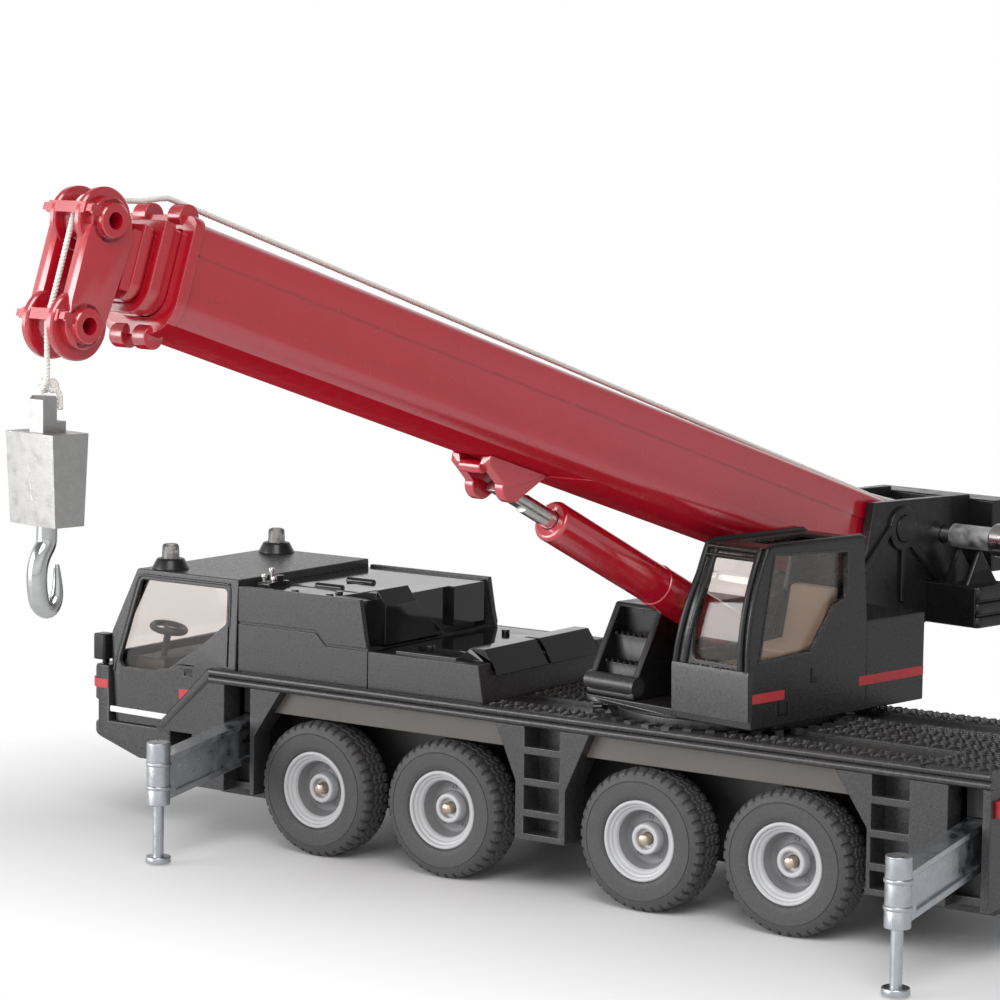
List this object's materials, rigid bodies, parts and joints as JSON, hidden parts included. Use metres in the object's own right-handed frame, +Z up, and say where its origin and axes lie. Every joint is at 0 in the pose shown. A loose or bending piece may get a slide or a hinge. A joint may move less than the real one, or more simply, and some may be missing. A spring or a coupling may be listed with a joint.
{
  "type": "toy mobile crane",
  "caption": "Toy all-terrain mobile crane, die-cast and plastic: slewing upper part with cab, red telescopic boom on a luffing cylinder, pull-out stands, winch, rope and hook.",
  "frame": {"origin": "on the ground, on the slewing axis", "axes": "+X to the carrier's nose, +Y to its left, +Z up"},
  "size_m": [0.203, 0.2297, 0.13],
  "materials": {
    "cast_black": "satin black paint on die-cast zinc, fine grain",
    "chassis_plastic": "matt black moulded plastic",
    "arch_grey": "grey-brown paint, satin",
    "gloss_black": "gloss black moulded plastic",
    "boom_red": "glossy red moulded plastic",
    "steel": "bright drawn steel",
    "bare_zinc": "bare die-cast zinc, satin grey",
    "smoke_clear": "clear plastic tinted smoky beige",
    "lamp_clear": "clear moulded plastic over silver",
    "lamp_red": "red lamp plastic",
    "interior_dark": "dark brown-black moulded plastic",
    "seat_tan": "tan moulded plastic",
    "rim_grey": "light grey moulded plastic",
    "tyre": "dark grey soft plastic with moulded lugs",
    "twine": "off-white twisted twine"
  },
  "bodies": {
    "carrier": {"carrier_body": "cast_black", "chassis_frame": "chassis_plastic", "arch_bands": "arch_grey", "cab_shell": "cast_black", "cab_glazing": "smoke_clear", "cab_interior": "interior_dark", "front_mask": "cast_black", "headlamps": "lamp_clear", "mirrors": "gloss_black", "beacon_bases": "gloss_black", "beacon_lenses": "smoke_clear", "cover_front": "cast_black", "cover_rear": "cast_black", "cover_front_insert": "gloss_black", "cover_rear_insert": "gloss_black", "rear_lamps": "lamp_red"},
    "axle_1": {"wheels_1": "rim_grey", "tyres_1": "tyre"},
    "axle_2": {"wheels_2": "rim_grey", "tyres_2": "tyre"},
    "axle_3": {"wheels_3": "rim_grey", "tyres_3": "tyre"},
    "axle_4": {"wheels_4": "rim_grey", "tyres_4": "tyre"},
    "stand_front_left": {"stand_front_left": "bare_zinc"},
    "stand_front_right": {"stand_front_right": "bare_zinc"},
    "stand_rear_left": {"stand_rear_left": "bare_zinc"},
    "stand_rear_right": {"stand_rear_right": "bare_zinc"},
    "upper": {"upper_frame": "cast_black", "upper_cab_shell": "cast_black", "upper_cab_glazing": "smoke_clear", "upper_cab_seat": "seat_tan", "boom_cheeks": "gloss_black", "luff_pin": "steel", "counterweight": "gloss_black", "rear_housing": "gloss_black", "stair_block": "gloss_black", "rope_tail": "twine"},
    "winch": {"winch": "steel"},
    "boom": {"boom_outer": "boom_red", "boom_bracket": "boom_red", "rope_boom": "twine"},
    "cylinder_barrel": {"cylinder_barrel": "boom_red"},
    "cylinder_rod": {"cylinder_rod": "steel"},
    "boom_mid": {"boom_mid": "boom_red", "rope_span": "twine"},
    "boom_inner": {"boom_inner": "boom_red", "boom_head": "boom_red", "rope_head": "twine"},
    "fall": {"rope_drop": "twine"},
    "hook": {"rope_knot": "twine", "hook_block": "bare_zinc", "hook": "bare_zinc"}
  },
  "joints": [
    {"name": "axle_1_turn", "type": "hinge", "parent": "carrier", "child": "axle_1", "pos_m": [0.0766, 0, 0.013], "axis": [0, 1, 0], "continuous": true},
    {"name": "axle_2_turn", "type": "hinge", "parent": "carrier", "child": "axle_2", "pos_m": [0.0466, 0, 0.013], "axis": [0, 1, 0], "continuous": true},
    {"name": "axle_3_turn", "type": "hinge", "parent": "carrier", "child": "axle_3", "pos_m": [0.0032, 0, 0.013], "axis": [0, 1, 0], "continuous": true},
    {"name": "axle_4_turn", "type": "hinge", "parent": "carrier", "child": "axle_4", "pos_m": [-0.0268, 0, 0.013], "axis": [0, 1, 0], "continuous": true},
    {"name": "stand_front_left_pull", "type": "slide", "parent": "carrier", "child": "stand_front_left", "axis": [0, 0.9898, -0.1426], "range_m": [-0.025, 0]},
    {"name": "stand_front_right_pull", "type": "slide", "parent": "carrier", "child": "stand_front_right", "axis": [0, -0.9898, -0.1426], "range_m": [-0.025, 0]},
    {"name": "stand_rear_left_pull", "type": "slide", "parent": "carrier", "child": "stand_rear_left", "axis": [0, 0.9898, -0.1426], "range_m": [-0.025, 0]},
    {"name": "stand_rear_right_pull", "type": "slide", "parent": "carrier", "child": "stand_rear_right", "axis": [0, -0.9898, -0.1426], "range_m": [-0.025, 0]},
    {"name": "slew", "type": "hinge", "parent": "carrier", "child": "upper", "pos_m": [0, 0, 0.0335], "axis": [0, 0, 1], "continuous": true},
    {"name": "winch_turn", "type": "hinge", "parent": "upper", "child": "winch", "pos_m": [-0.00865, -0.05127, 0.0635], "axis": [-0.9861, 0.1664, 0], "range_deg": [-60.6, 327.54]},
    {"name": "luff", "type": "hinge", "parent": "upper", "child": "boom", "pos_m": [-0.00641, -0.03796, 0.0656], "axis": [0.9861, -0.1664, 0], "range_deg": [-9, 47.4], "deforming": ["rope_tail"]},
    {"name": "cylinder_swing", "type": "hinge", "parent": "upper", "child": "cylinder_barrel", "pos_m": [-0.00339, -0.02006, 0.03903], "axis": [0.9861, -0.1664, 0], "range_deg": [-8.7, 45.2]},
    {"name": "cylinder_stroke", "type": "slide", "parent": "cylinder_barrel", "child": "cylinder_rod", "axis": [0.1491, 0.8832, 0.4446], "range_m": [-0.0047, 0.0241]},
    {"name": "telescope_mid", "type": "slide", "parent": "boom", "child": "boom_mid", "axis": [0.1586, 0.9399, 0.3024], "range_m": [0, 0.1]},
    {"name": "telescope_inner", "type": "slide", "parent": "boom_mid", "child": "boom_inner", "axis": [0.1586, 0.9399, 0.3024], "range_m": [0, 0.095]},
    {"name": "fall_swing", "type": "hinge", "parent": "boom_inner", "child": "fall", "pos_m": [0.02553, 0.15127, 0.10984], "axis": [0.9861, -0.1664, 0], "range_deg": [-47.5, 9.1]},
    {"name": "hoist", "type": "slide", "parent": "fall", "child": "hook", "axis": [0, 0, -1], "range_m": [-0.0045, 0.025], "deforming": ["rope_drop"]}
  ],
  "couplings": [
    {"joint": "winch_turn", "follows": "hoist", "rad_per_m": 227.27},
    {"joint": "cylinder_swing", "follows": "luff", "ratio": 0.95},
    {"joint": "cylinder_stroke", "follows": "luff", "m_per_rad": 0.029},
    {"joint": "fall_swing", "follows": "luff", "ratio": -1}
  ]
}
